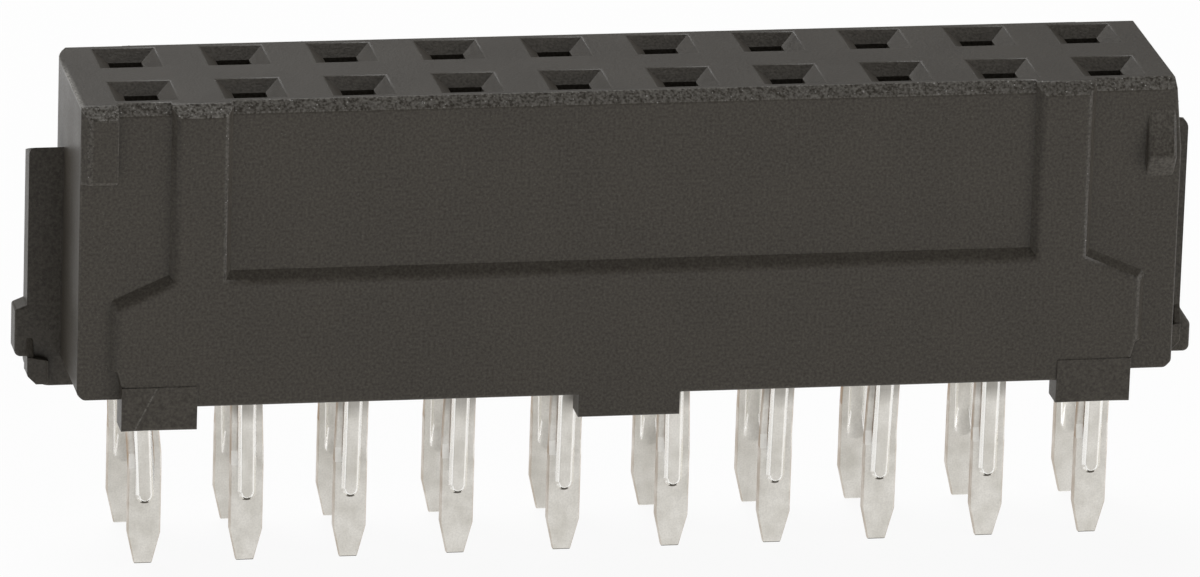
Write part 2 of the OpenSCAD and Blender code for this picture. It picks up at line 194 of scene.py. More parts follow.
def bumps(graph, height, depth, strength=1.0, under=None):
    """A bump node of a real depth in metres; `under` is a coarser bump that it sits on."""
    node = graph.nodes.new("ShaderNodeBump")
    node.inputs["Distance"].default_value = depth
    node.inputs["Strength"].default_value = strength
    graph.links.new(height, node.inputs["Height"])
    if under is not None:
        graph.links.new(under, node.inputs["Normal"])
    return node.outputs[0]


def piece_axes(graph):
    """The X, Y and Z sockets of the place on a piece, or of the direction in a world."""
    place = graph.nodes.new("ShaderNodeTexCoord")
    split = graph.nodes.new("ShaderNodeSeparateXYZ")
    graph.links.new(place.outputs["Object"], split.inputs[0])
    return split.outputs


def mirrored_rays(graph, path):
    """1 for rays that a shiny or a clear surface sends on, 0 for the rest."""
    return math_node(graph, "ADD", path.outputs["Is Glossy Ray"], path.outputs["Is Transmission Ray"], True)


print("node helpers ready")

# %% [markdown]
# ## Moulded plastic
#
# The housing is glass-filled nylon, dyed black. It isn't really black: in the light of a studio it is a
# warm charcoal, with a fine matte grain from the spark-eroded mould. A flat dark colour would look like a
# silhouette, so the material has three layers of noise: a slow one that clouds the colour, a fine one for
# the grain and its bump, and a sparse one for the pale glass specks. Gloss is left to the shader: a rough
# dielectric brightens by itself where it is seen edge-on, as the left end does in the photograph.
#
# Rubbing makes the plastic paler, and painted highlight does too. The pale tone comes from three masks: an
# attribute made later with the mesh, for rub marks and for painted highlight on edges that face the light,
# one scratch on the left front foot, and a painted highlight along the top edge of the left end. The last two
# are written as places on the piece, because they don't fill whole faces. A fourth noise breaks all three up.

# %% Finish of the housing
CLOUD_TONES = (0.037, 0.0316, 0.0246), (0.0445, 0.0382, 0.0298)
GRAIN_TONES = (0.021, 0.0176, 0.0133), (0.068, 0.0600, 0.0482)
GLASS_TONE = (0.15, 0.145, 0.135)
# Pale tone of rub marks and of painted highlight on edges that face the light
RUB_AND_HIGHLIGHT_TONE = (0.27, 0.26, 0.24)
NYLON_GLOSS = 0.22
# The scratch: its two ends, the face it lies on, half its width and the share of that with no fading
SCRATCH_TOP = Vector((-8.795, 0.0, 0.818)) * MM
SCRATCH_FOOT = Vector((-9.204, 0.0, 0.010)) * MM
SCRATCH_FACE = -2.06 * MM
SCRATCH_HALF_WIDTH, SCRATCH_CORE = 0.022 * MM, 0.3
# The painted highlight on the top edge of the left end: where it is, how wide its core and the whole are, and
# where it fades out towards the rear
LEFT_END, TOP = -10.25 * MM, 6.2 * MM
EDGE_LINE_CORE, EDGE_LINE_WIDTH = 0.02 * MM, 0.09 * MM
EDGE_LINE_FADES, EDGE_LINE_ENDS = 0.2 * MM, 0.9 * MM


def end_edge_highlight_mask(graph):
    """A painted highlight: 1 on the top edge of the left end, fading out over the end face and the top."""
    axes = piece_axes(graph)
    near_end = between(graph, axes["X"], 1.0, 0.0, LEFT_END + EDGE_LINE_CORE, LEFT_END + EDGE_LINE_WIDTH)
    near_top = between(graph, axes["Z"], 0.0, 1.0, TOP - EDGE_LINE_WIDTH, TOP - EDGE_LINE_CORE)
    in_front = between(graph, axes["Y"], 1.0, 0.0, EDGE_LINE_FADES, EDGE_LINE_ENDS)
    return math_node(graph, "MULTIPLY", math_node(graph, "MULTIPLY", near_end, near_top), in_front)


def scratch_mask(graph):
    """1 along one straight scratch on the left front foot, 0 elsewhere."""
    axes = piece_axes(graph)
    along = (SCRATCH_FOOT - SCRATCH_TOP).normalized()
    offset = SCRATCH_TOP.x * along.z - SCRATCH_TOP.z * along.x
    aside = math_node(graph, "SUBTRACT", math_node(graph, "MULTIPLY", axes["X"], along.z),
                      math_node(graph, "MULTIPLY", axes["Z"], along.x))
    aside = math_node(graph, "ABSOLUTE", math_node(graph, "SUBTRACT", aside, offset))
    line = between(graph, aside, 1.0, 0.0, SCRATCH_CORE * SCRATCH_HALF_WIDTH, SCRATCH_HALF_WIDTH)
    on_front = math_node(graph, "LESS_THAN", axes["Y"], SCRATCH_FACE)
    below_top = math_node(graph, "LESS_THAN", axes["Z"], SCRATCH_TOP.z)
    on_left = math_node(graph, "LESS_THAN", axes["X"], 0.0)
    return math_node(graph, "MULTIPLY", math_node(graph, "MULTIPLY", line, on_front),
                     math_node(graph, "MULTIPLY", below_top, on_left))


def moulded_plastic():
    """The charcoal nylon of the housing."""
    finish, graph, shader = new_finish("moulded_black_nylon")
    clouds = grain(graph, 1.3 * MM, 3.0)
    fine = grain(graph, 0.05 * MM, 2.0)
    dust = grain(graph, 0.022 * MM, 1.0)
    patches = grain(graph, 0.05 * MM, 3.0)

    tone = blend_colours(graph, between(graph, clouds, 0, 1, 0.35, 0.65), *CLOUD_TONES)
    dark_and_pale = blend_colours(graph, between(graph, fine, 0, 1, 0.30, 0.70), *GRAIN_TONES)
    tone = blend_colours(graph, 0.5, tone, dark_and_pale)
    speckle = between(graph, dust, 0.0, 0.45, 0.70, 0.80)
    tone = blend_colours(graph, speckle, tone, GLASS_TONE)

    # The pale tone of rub marks and of painted highlight, broken into patches by noise
    rub_and_highlight = 0.0
    # Each mask, the least and most that a patch shows of it, and the noise value that shows the most
    for mask, least, most, full in ((face_mark(graph, "wear_and_highlight"), 0.0, 1.0, 0.72),
                                    (scratch_mask(graph), 0.06, 0.30, 0.6),
                                    (end_edge_highlight_mask(graph), 0.2, 1.0, 0.6)):
        patchy = math_node(graph, "MULTIPLY", mask, between(graph, patches, least, most, 0.35, full))
        rub_and_highlight = math_node(graph, "MAXIMUM", rub_and_highlight, patchy)
    tone = blend_colours(graph, rub_and_highlight, tone, RUB_AND_HIGHLIGHT_TONE)
    graph.links.new(tone, shader.inputs["Base Color"])

    rough = math_node(graph, "ADD", between(graph, fine, 0.36, 0.48, 0.3, 0.7),
                      between(graph, clouds, -0.04, 0.04, 0.35, 0.65))
    graph.links.new(rough, shader.inputs["Roughness"])
    shader.inputs["Specular IOR Level"].default_value = NYLON_GLOSS
    low = bumps(graph, clouds, 0.012 * MM, 0.25)
    graph.links.new(bumps(graph, fine, 0.008 * MM, 0.55, low), shader.inputs["Normal"])
    return finish


nylon = moulded_plastic()
print("made", nylon.name, "with", len(nylon.node_tree.nodes), "nodes")

# %% [markdown]
# ## Plated strip
#
# The contacts are stamped from copper-alloy strip that was tin-plated before it was cut. So the two broad
# faces are silver, and the sheared edges show brown metal. Plating could be one material with a painted
# mask, or two materials. Here it is one graph with attributes that the mesh step sets on the faces:
# `sheared` on a cut, where noise breaks the line up because the tin smears a little way over the edge,
# one for slopes that the press has polished, painted paler as a painted highlight that is stronger on one
# side, and one for the steep foot of the bead, painted dark as a painted shade for the dark that it reflects.
# Tin also keeps the fine lines of the rolling mill along the strip, so one noise is stretched along Z. Close
# under the housing the strip is painted darker, a painted shade for the dark plastic above it, which leaves
# little to reflect.

# %% Finish of the contacts
TIN_TONES = (0.80, 0.775, 0.725), (0.68, 0.655, 0.60)
PIT_TONE = (0.52, 0.50, 0.46)
# Painted shade close under the housing
UNDER_HOUSING_SHADE_TONE = (0.26, 0.245, 0.22)
# Paler tin of polished slopes, also a painted highlight
BURNISH_HIGHLIGHT_TONE = (0.95, 0.94, 0.91)
COPPER_TONE = (0.42, 0.30, 0.20)
# Painted shade for the dark spot at the foot of the bead
DARK_SPOT_SHADE_TONE = (0.10, 0.09, 0.075)
SHADE_FROM, SHADE_FULL = -0.20 * MM, 0.10 * MM
BURNISHED_SMOOTHER = 0.24


def tinned_strip():
    """The plated strip of the contacts."""
    finish, graph, shader = new_finish("tinned_copper_strip")
    lines = grain(graph, 0.03 * MM, 2.0, (1, 1, 14))
    stains = grain(graph, 0.4 * MM, 3.0)
    pits = grain(graph, 0.03 * MM, 2.0)
    burnish_and_highlight = face_mark(graph, "burnish_and_highlight")

    tin = blend_colours(graph, between(graph, stains, 0, 1, 0.35, 0.7), *TIN_TONES)
    tin = blend_colours(graph, between(graph, pits, 0.0, 0.35, 0.35, 0.7), tin, PIT_TONE)
    # Painted shade: darker close under the housing, for the dark plastic that the strip would reflect there
    painted_shade_under_housing = between(graph, piece_axes(graph)["Z"], 0.0, 0.6, SHADE_FROM, SHADE_FULL)
    tin = blend_colours(graph, painted_shade_under_housing, tin, UNDER_HOUSING_SHADE_TONE)
    # Polished slopes, painted paler as a painted highlight
    tin = blend_colours(graph, burnish_and_highlight, tin, BURNISH_HIGHLIGHT_TONE)
    bare = math_node(graph, "MULTIPLY", face_mark(graph, "sheared"),
                     between(graph, stains, 0.45, 1.0, 0.3, 0.6))
    colour = blend_colours(graph, bare, tin, COPPER_TONE)
    # Painted shade: a dark spot at the foot of the bead, for the dark that it reflects
    colour = blend_colours(graph, face_mark(graph, "dark_spot_shade"), colour, DARK_SPOT_SHADE_TONE)
    graph.links.new(colour, shader.inputs["Base Color"])
    shader.inputs["Metallic"].default_value = 1.0

    rough = math_node(graph, "ADD", between(graph, lines, 0.42, 0.54, 0.3, 0.7),
                      between(graph, stains, -0.04, 0.06, 0.3, 0.7))
    rough = math_node(graph, "SUBTRACT", rough, math_node(graph, "MULTIPLY", burnish_and_highlight, BURNISHED_SMOOTHER))
    graph.links.new(rough, shader.inputs["Roughness"])
    low = bumps(graph, pits, 0.003 * MM, 0.3)
    graph.links.new(bumps(graph, lines, 0.002 * MM, 0.4, low), shader.inputs["Normal"])
    return finish


tin_plate = tinned_strip()
print("made", tin_plate.name, "with", len(tin_plate.node_tree.nodes), "nodes")

# %% [markdown]
# ## Rounded edges
#
# No moulded or stamped edge is sharp, and the thin bright line along an edge is what tells the eye so. The
# CAD solids have sharp edges, and a Bevel modifier can round them. A modifier that chose edges by angle
# would also round every hidden edge inside the sockets, so each edge gets a bevel weight instead, and only
# edges that stand out get one.
#
# The modifier has a clamp that keeps neighbouring bevels apart, but it shrinks every bevel to suit the
# tightest place on the whole piece. So the clamp is off, `room_beside` measures the space beside each edge,
# and the weight is made to fit that. Edges that carry on from one another then all get the size of the
# tightest one, because a bevel that changes width along its way leaves spikes at the corners. Loop sliding is
# off for the same reason: it would widen one edge to suit its neighbour.
#
# The solid arrives as loose triangles. They are copied, scaled to millimetres, merged at their corners and
# dissolved into flat faces, because a bevel needs to know which faces meet. A face with holes can't be
# one flat polygon, so cuts through the holes divide it first, and the cuts are kept as seams.

# %% Helper: the room beside an edge
# Two edges of one outline run the same way if the cosine between them is above the first number. Two edges
# that leave one corner are one run if it is below the second.
SAME_WAY, RUN_ON = 0.75, -0.7
# The share of a gap that a bevel may take, beside another bevel and beside a sharp edge
SHARED_ROOM, OWN_ROOM = 0.45, 0.9


def distance_to(point, edge):
    """The distance from a point to an edge, ends included."""
    first, last = (vert.co for vert in edge.verts)
    share = intersect_point_line(point, first, last)[1]
    return (point - first.lerp(last, min(max(share, 0.0), 1.0))).length


def heading(corner):
    """The direction in which a face's outline leaves one of its corners."""
    return (corner.link_loop_next.vert.co - corner.vert.co).normalized()


def room_beside(edge, radii):
    """How far an edge can be rounded before it meets another edge of one of its two faces."""
    room = 1.0
    for own in edge.link_loops:
        for step in own.face.loops:
            other = step.edge
            along = heading(own).dot(heading(step))
            if other is edge or (radii[other.index] and along > SAME_WAY):
                continue
            shared = set(edge.verts) & set(other.verts)
            if shared:
                corner = shared.pop()
                line = (edge.other_vert(corner).co - corner.co).normalized()
                reach = other.other_vert(corner).co - corner.co
                gap = (reach - line * reach.dot(line)).length
            else:
                gap = min([distance_to(vert.co, other) for vert in edge.verts]
                          + [distance_to(vert.co, edge) for vert in other.verts])
            room = min(room, gap * (SHARED_ROOM if radii[other.index] else OWN_ROOM))
    return room


def even_runs(solid, sizes):
    """Gives edges that follow one another in one run the size of the tightest of them."""
    changed = True
    while changed:
        changed = False
        for vert in solid.verts:
            rounded = [edge for edge in vert.link_edges if sizes[edge.index]]
            for first, second in combinations(rounded, 2):
                ways = [(edge.other_vert(vert).co - vert.co).normalized() for edge in (first, second)]
                low, high = sorted((sizes[first.index], sizes[second.index]))
                if ways[0].dot(ways[1]) < RUN_ON and high > low * 1.001:
                    sizes[first.index] = sizes[second.index] = low
                    changed = True


# %% Helper: a copy of a solid in flat faces
CUT_SNAP = 0.002
FLAT_WITHIN = math.radians(0.6)


def flat_faced(node, merge, cuts=()):
    """The solid `node` in millimetres, joined to flat faces; `cuts` are planes as (point, normal)."""
    solid = bmesh.new()
    solid.from_mesh(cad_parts[node].data)
    bmesh.ops.scale(solid, vec=(1 / MM, 1 / MM, 1 / MM), verts=solid.verts)
    bmesh.ops.remove_doubles(solid, verts=solid.verts, dist=merge)
    for point, normal in cuts:
        parts = solid.verts[:] + solid.edges[:] + solid.faces[:]
        cut = bmesh.ops.bisect_plane(solid, geom=parts, dist=CUT_SNAP, plane_co=point, plane_no=normal)
        for part in cut["geom_cut"]:
            if isinstance(part, bmesh.types.BMEdge):
                part.seam = True
    bmesh.ops.dissolve_limit(solid, angle_limit=FLAT_WITHIN, verts=solid.verts, edges=solid.edges,
                             delimit={"SEAM"})
    solid.verts.index_update()
    solid.edges.index_update()
    return solid


# %% Helper: shading that stays flat on flat faces
# The material slot that the bevel gives to the rounded strips, until a piece is dressed
STRIP = 1
SMOOTH_ON_STRIP, SMOOTH_ELSEWHERE = math.radians(50), math.radians(20)


def keep_flat_faces_flat(mesh):
    """Lets the light run smoothly round each strip and each curve, and break at every other edge."""
    shape = bmesh.new()
    shape.from_mesh(mesh)
    for edge in shape.edges:
        strips = {face.material_index for face in edge.link_faces}
        limit = SMOOTH_ON_STRIP if STRIP in strips else SMOOTH_ELSEWHERE
        edge.smooth = len(strips) == 1 and edge.calc_face_angle(0.0) < limit
    shape.to_mesh(mesh)
    shape.free()


# %% Helper: a copy of a solid with rounded edges
def rounded_copy(solid, name, radius_of, steps):
    """A plain mesh object made from flat faces, each edge rounded by `radius_of(edge)` millimetres."""
    radii = [radius_of(edge) for edge in solid.edges]
    widest = max(radii)
    sizes = [min(radius, room_beside(edge, radii)) if radius else 0.0
             for edge, radius in zip(solid.edges, radii)]
    even_runs(solid, sizes)
    weights = {tuple(sorted(vert.index for vert in edge.verts)): sizes[edge.index] / widest
               for edge in solid.edges}
    mesh = bpy.data.meshes.new(name + "_sharp")
    mesh.from_pydata([vert.co.copy() for vert in solid.verts], [],
                     [[vert.index for vert in face.verts] for face in solid.faces])
    solid.free()
    ends = [tuple(sorted(edge.vertices)) for edge in mesh.edges]
    layer = mesh.attributes.new("bevel_weight_edge", "FLOAT", "EDGE")
    layer.data.foreach_set("value", [weights[pair] for pair in ends])
    for _ in range(STRIP + 1):
        mesh.materials.append(None)
    sharp = bpy.data.objects.new(name + "_sharp", mesh)
    bpy.context.scene.collection.objects.link(sharp)
    bevel = sharp.modifiers.new("rounded_edges", "BEVEL")
    bevel.limit_method = "WEIGHT"
    bevel.width = widest
    bevel.segments = steps
    bevel.material = STRIP
    bevel.use_clamp_overlap = False
    bevel.loop_slide = False
    mesh.shade_smooth()

    rounded = sharp.evaluated_get(bpy.context.evaluated_depsgraph_get())
    dressed = bpy.data.meshes.new_from_object(rounded)
    bpy.data.objects.remove(sharp)
    keep_flat_faces_flat(dressed)
    dressed.transform(Matrix.Scale(MM, 4))
    dressed.name = name
    piece = bpy.data.objects.new(name, dressed)
    bpy.context.scene.collection.objects.link(piece)
    return piece


def mark_faces(piece, attribute, value_of):
    """Stores one number per face for a finish to read."""
    layer = piece.data.attributes.new(attribute, "FLOAT", "FACE")
    layer.data.foreach_set("value", [value_of(face) for face in piece.data.polygons])


def dress(piece, finish, slot, *nodes):
    """Gives a piece its only material and hands it to the frame in place of the solids it covers."""
    piece.data.polygons.foreach_set("material_index", [0] * len(piece.data.polygons))
    piece.data.materials.clear()
    piece.data.materials.append(finish)
    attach(piece, "root")
    if nodes:
        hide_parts(*nodes)


print("rounding helpers ready")

# %% [markdown]
# ## The housing
#
# Outside edges of the moulding have a radius of about six hundredths of a millimetre, which is three pixels
# of the photograph, and less where there is no room. The ends of the feet and the upright corners are
# rounder, the fins and the mouths of the sockets crisper. Inside the sockets nothing is rounded.
#
# The CAD model's rear side mirrors the front, ribs included. The photograph shows the rear top edge as one
# straight line, so the ribs can't stand up over it there. Their tops are let down before the rounding.

# %% Round the housing
EDGE_RADIUS = 0.06
FIN_RADIUS = 0.04
FOOT_RADIUS = 0.09
CORNER_RADIUS = 0.14
MOUTH_RADIUS = 0.02
ROUNDED_TURN = math.radians(28)
ROUNDING_STEPS = 3
CORNER_MERGE = 0.008
BODY_HALF_LENGTH, BODY_HALF_DEPTH = 10.25, 1.9
COLUMNS = (-9, -7, -5, -3, -1, 1, 3, 5, 7, 9)
WEDGE_MIDDLE = 5.0
# Edges within these two distances from the middle belong to the sockets
SOCKETS_X, SOCKETS_Y = BODY_HALF_LENGTH - 0.3, BODY_HALF_DEPTH - 0.1
FINS_FROM, CORNERS_FROM = BODY_HALF_LENGTH + 0.25, BODY_HALF_LENGTH - 0.05
FOOT_END = 0.05
MOUTH_DEPTH = 0.02
STRAIGHT = 0.9
# Where the flat top ends at the rear, how steeply the rear ribs fall from there, and how far down they count
REAR_EDGE, REAR_FALL = 1.72, 0.6
RIB_TOP_DEPTH, REAR_SNAP = 0.1, 0.01
top_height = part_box("housing")[1].z / MM


def housing_radius(edge):
    """The radius that an edge of the housing would have with all the room it needs."""
    middle = (edge.verts[0].co + edge.verts[1].co) / 2
    if edge.calc_face_angle_signed(0.0) < ROUNDED_TURN:
        return 0.0
    if abs(middle.x) < SOCKETS_X and abs(middle.y) < SOCKETS_Y:
        return MOUTH_RADIUS if middle.z > top_height - MOUTH_DEPTH else 0.0
    along = (edge.verts[1].co - edge.verts[0].co).normalized()
    if abs(middle.x) > FINS_FROM:
        return FIN_RADIUS
    if abs(along.y) > STRAIGHT and middle.z < FOOT_END:
        return FOOT_RADIUS
    if abs(along.z) > STRAIGHT and abs(middle.x) > CORNERS_FROM:
        return CORNER_RADIUS
    return EDGE_RADIUS


def slope_rear_ribs(moulding):
    """Lets the tops of the rear ribs fall away towards the rear."""
    for vert in moulding.verts:
        if vert.co.y > REAR_EDGE + REAR_SNAP and vert.co.z > top_height - RIB_TOP_DEPTH:
            vert.co.z -= (vert.co.y - REAR_EDGE) * REAR_FALL


# Cuts through the columns of sockets and the middle of the wedge, and one where the rear ribs start to fall
hole_cuts = [((x, 0, 0), (1, 0, 0)) for x in COLUMNS]
hole_cuts += [((0, 0, WEDGE_MIDDLE), (0, 0, 1)), ((0, REAR_EDGE, 0), (0, 1, 0))]
moulding = flat_faced("housing", CORNER_MERGE, hole_cuts)
slope_rear_ribs(moulding)
housing = rounded_copy(moulding, "housing_moulding", housing_radius, ROUNDING_STEPS)
print("housing rounded:", len(housing.data.polygons), "faces")

# %% [markdown]
# ## Rub marks and painted highlight on the housing
#
# Rub marks lie where the mating part is pushed on: on the bevels along the top, most of all on the left
# front rib. The same bevels also get painted highlight, and so do the upward steps of the feet, the top edge
# of the left end and edges that stand out to the right. An artist would paint that by hand. Here each face is
# asked what it is, by where it lies and the way it faces, and two tables say how pale it is painted, by rub
# and by highlight, and how thickly the crumbs of the next step lie on it.

# %% Mark the faces with rub marks and painted highlight
# Paleness of each place: rub marks on the ribs, the pad, the wedge and a trace elsewhere, and painted
# highlight as well on the top bevels, the top edge of the left end, the upward steps of the feet and the
# edges that face right
WEAR_AND_HIGHLIGHT = {"left front rib": 0.7, "rib": 0.40, "left edge": 0.7, "bevel": 0.45, "pad": 0.18, "ledge": 0.4,
        "wedge": 0.10, "right edges": 0.16, "elsewhere": 0.04}
# Shares at the left front and elsewhere
SPECKS = {"rib": (1.0, 0.5), "bevel": (0.6, 0.35), "right edges": (0.6, 0.3)}
SPECKS_LEFT_EDGE, SPECKS_PAD = 1.0, 0.5
# Where the places are, in millimetres, and how far a face has to point up or to the right to count
BEVEL_DEPTH, BEVEL_WIDTH = 0.3, 0.25
SLOPE_LEAST, SLOPE_MOST = 0.3, 0.95
RIB_PROUD = 0.01
PAD_RIGHT, PAD_FOOT = -8.9, 3.4
LEFT_EDGE_X, LEFT_EDGE_Z = -10.1, 5.9
LEDGE_OUT, LEDGE_LOW, LEDGE_HIGH = 2.045, 0.7, 0.95
WEDGE_LEFT, WEDGE_OUT, WEDGE_FOOT = 9.3, -1.95, 3.3
FACES_UP, FACES_RIGHT = 0.7, 0.3
LEFT_FRONT, SPECKS_ABOVE = -7.5, 2.0


def is_top_bevel(face):
    slopes = face.center.z > (top_height - BEVEL_DEPTH) * MM and SLOPE_LEAST < face.normal.z < SLOPE_MOST
    return slopes and abs(face.center.y) > (BODY_HALF_DEPTH - BEVEL_WIDTH) * MM


def is_rib_top(face):
    return is_top_bevel(face) and abs(face.center.y) > (BODY_HALF_DEPTH + RIB_PROUD) * MM


def is_pad_edge(face):
    at_pad = face.center.x < PAD_RIGHT * MM and face.center.y < -BODY_HALF_DEPTH * MM
    return at_pad and face.center.z > PAD_FOOT * MM and face.material_index == STRIP


def is_left_top_edge(face):
    at_edge = face.center.x < LEFT_EDGE_X * MM and face.center.z > LEFT_EDGE_Z * MM
    return at_edge and face.material_index == STRIP


def is_foot_ledge(face):
    level = face.normal.z > FACES_UP and LEDGE_LOW < face.center.z / MM < LEDGE_HIGH
    return level and abs(face.center.y) > LEDGE_OUT * MM


def is_wedge(face):
    at_wedge = face.center.x > WEDGE_LEFT * MM and face.center.y < WEDGE_OUT * MM
    return at_wedge and face.center.z > WEDGE_FOOT * MM


def is_right_edge(face):
    return face.material_index == STRIP and face.normal.x > FACES_RIGHT


def face_wear_and_highlight(face):
    """How pale a face is painted, by rub marks and by painted highlight, from 0 to 1."""
    if is_rib_top(face):
        return WEAR_AND_HIGHLIGHT["left front rib" if face.center.x < 0 and face.center.y < 0 else "rib"]
    for is_such, name in ((is_left_top_edge, "left edge"), (is_top_bevel, "bevel"), (is_pad_edge, "pad"),
                          (is_foot_ledge, "ledge"), (is_wedge, "wedge"), (is_right_edge, "right edges")):
        if is_such(face):
            return WEAR_AND_HIGHLIGHT[name]
    return WEAR_AND_HIGHLIGHT["elsewhere"]


def speck_share(face):
    """How thickly the pale specks lie: thickest where the mating part is pushed on, at the left front."""
    which = 0 if face.center.x < LEFT_FRONT * MM and face.center.y < 0 else 1
    if is_rib_top(face):
        return SPECKS["rib"][which]
    if is_top_bevel(face):
        return SPECKS["bevel"][which]
    if is_left_top_edge(face):
        return SPECKS_LEFT_EDGE
    if is_pad_edge(face):
        return SPECKS_PAD
    if is_right_edge(face) and face.center.z > SPECKS_ABOVE * MM:
        return SPECKS["right edges"][which]
    return 0.0


mark_faces(housing, "wear_and_highlight", face_wear_and_highlight)
mark_faces(housing, "specks", speck_share)
dress(housing, nylon, "housing", "housing")
print("faces that carry specks:", sum(mark.value > 0 for mark in housing.data.attributes["specks"].data))

# %% [markdown]
# ## Pale specks on the edges
#
# Where a plug has been pushed on and off, the nylon is bruised into tiny pale crumbs. They could be painted
# with a texture, but real crumbs catch the light and break the straight line of an edge. Placing some
# hundreds by hand is no work for a person, so Geometry Nodes does it: points are strewn over the housing as
# thickly as the `specks` attribute says, and each gets a flattened ball with a size of its own. The
# seed is fixed, so the same crumbs come back each time. At the end the result is turned into an ordinary
# mesh.

# %% Strew the specks
CRUMBS_PER_MM2 = 90.0
CRUMB_SEED = 7
SMALLEST_CRUMB, LARGEST_CRUMB = 0.005, 0.018
CRUMB_SHAPE = (1.0, 0.8, 0.5)
BRUISED_TONES = (0.09, 0.085, 0.078), (0.36, 0.35, 0.33)
FACES_PER_CRUMB = 20


def strewing(finish):
    """A node group that strews crumbs over a mesh and returns the crumbs alone."""
    group = bpy.data.node_groups.new("strewn_crumbs", "GeometryNodeTree")
    sockets = {}
    for name, kind in (("Mesh", "Geometry"), ("Crumbs per square metre", "Float"), ("Seed", "Int"),
                       ("Smallest", "Float"), ("Largest", "Float")):
        socket = group.interface.new_socket(name, in_out="INPUT", socket_type="NodeSocket" + kind)
        sockets[name] = socket.identifier
    group.interface.new_socket("Crumbs", in_out="OUTPUT", socket_type="NodeSocketGeometry")

    def add(kind, **values):
        node = group.nodes.new(kind)
        for name, value in values.items():
            setattr(node, name, value)
        return node

    given, result = add("NodeGroupInput"), add("NodeGroupOutput")
    share = add("GeometryNodeInputNamedAttribute", data_type="FLOAT")
    share.inputs["Name"].default_value = "specks"
    density = add("ShaderNodeMath", operation="MULTIPLY")
    points = add("GeometryNodeDistributePointsOnFaces")
    ball = add("GeometryNodeMeshIcoSphere")
    ball.inputs["Radius"].default_value = 1.0
    ball.inputs["Subdivisions"].default_value = 1
    size = add("FunctionNodeRandomValue", data_type="FLOAT")
    flat = add("ShaderNodeVectorMath", operation="SCALE")
    flat.inputs[0].default_value = CRUMB_SHAPE
    crumbs = add("GeometryNodeInstanceOnPoints")
    real = add("GeometryNodeRealizeInstances")
    coat = add("GeometryNodeSetMaterial")
    coat.inputs["Material"].default_value = finish
    link = group.links.new
    link(share.outputs["Attribute"], density.inputs[0])
    link(given.outputs["Crumbs per square metre"], density.inputs[1])
    link(given.outputs["Mesh"], points.inputs["Mesh"])
    link(density.outputs[0], points.inputs["Density"])
    link(given.outputs["Seed"], points.inputs["Seed"])
    link(given.outputs["Smallest"], size.inputs[2])
    link(given.outputs["Largest"], size.inputs[3])
    link(size.outputs[1], flat.inputs["Scale"])
    link(points.outputs["Points"], crumbs.inputs["Points"])
    link(points.outputs["Rotation"], crumbs.inputs["Rotation"])
    link(ball.outputs["Mesh"], crumbs.inputs["Instance"])
    link(flat.outputs[0], crumbs.inputs["Scale"])
    link(crumbs.outputs[0], real.inputs[0])
    link(real.outputs[0], coat.inputs[0])
    link(coat.outputs[0], result.inputs[0])
    return group, sockets


def bruised_plastic():
    """The pale, broken nylon of a crumb."""
    finish, graph, shader = new_finish("bruised_nylon")
    shades = grain(graph, 0.06 * MM, 2.0)
    tone = blend_colours(graph, between(graph, shades, 0, 1, 0.35, 0.65), *BRUISED_TONES)
    graph.links.new(tone, shader.inputs["Base Color"])
    graph.links.new(between(graph, shades, 0.45, 0.65, 0.3, 0.7), shader.inputs["Roughness"])
    return finish


bruised = bruised_plastic()
group, sockets = strewing(bruised)
sown = bpy.data.objects.new("sown", housing.data.copy())
bpy.context.scene.collection.objects.link(sown)
strew = sown.modifiers.new("strew", "NODES")
strew.node_group = group
strew[sockets["Crumbs per square metre"]] = CRUMBS_PER_MM2 / (MM * MM)
strew[sockets["Seed"]] = CRUMB_SEED
strew[sockets["Smallest"]] = SMALLEST_CRUMB * MM
strew[sockets["Largest"]] = LARGEST_CRUMB * MM
strewn = sown.evaluated_get(bpy.context.evaluated_depsgraph_get())
crumb_mesh = bpy.data.meshes.new_from_object(strewn)
bpy.data.objects.remove(sown)
crumb_mesh.name = "edge_crumbs"
crumb_mesh.shade_smooth()
crumbs = bpy.data.objects.new("edge_crumbs", crumb_mesh)
bpy.context.scene.collection.objects.link(crumbs)
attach(crumbs, "root")
print("crumbs:", len(crumb_mesh.polygons) // FACES_PER_CRUMB)

# %% [markdown]
# ## The contacts
#
# Twenty contacts are the same stamping, and the CAD model has them as twenty solids. Each gets its own
# rounded copy, so that each can still be picked as a part of its own. Only the tail, the length that shows
# below the housing, is worth rounding.
#
# A press doesn't leave steps: the groove behind the bead and the ledge of the coined flanges run out
# gently, so their ends are drawn out before the rounding. The tails don't stand quite alike either. Each is
# set aside by the little that the photograph shows, blended in from inside the housing down.
#
# The faces are then sorted by the way they look: sideways faces are cuts, a slope beside the bead is
# polished by the press and painted paler as a painted highlight, stronger on one side, and the steep foot of
# the bead is painted dark, a painted shade for the dark that it reflects.

# %% Round the contacts
STAMPED_RADIUS, STAMPED_TURN = 0.02, math.radians(40)
STAMPED_STEPS, STAMPED_MERGE = 2, 0.001
TAIL_TOP = 0.6
# How far each tail stands aside of its place, in millimetres, in the front row and in the rear row
FRONT_SET = (0.139, 0.037, -0.030, -0.024, -0.022, 0.024, -0.043, -0.057, -0.009, -0.039)
REAR_SET = (0.094, 0.030, -0.030, -0.005, 0.020, 0.070, 0.025, 0.035, 0.090, 0.080)
LEAN_FROM, LEAN_RUN = 0.45, 0.6
LEDGE_HEIGHT, LEDGE_SPAN = -1.0, 0.06
# Distances outward from the sockets' axes to the strip's inner face, the groove's floor and the coined face,
# and how far the last two run out
ROW_OFFSET = 1.0
INNER_DEPTH = 0.05
GROOVE_DEPTH, GROOVE_RUN, GROOVE_REACH = 0.12, 0.40, 1.0
COINED_DEPTH, LEDGE_RUN = 0.21, 0.22
NEAR = 0.005


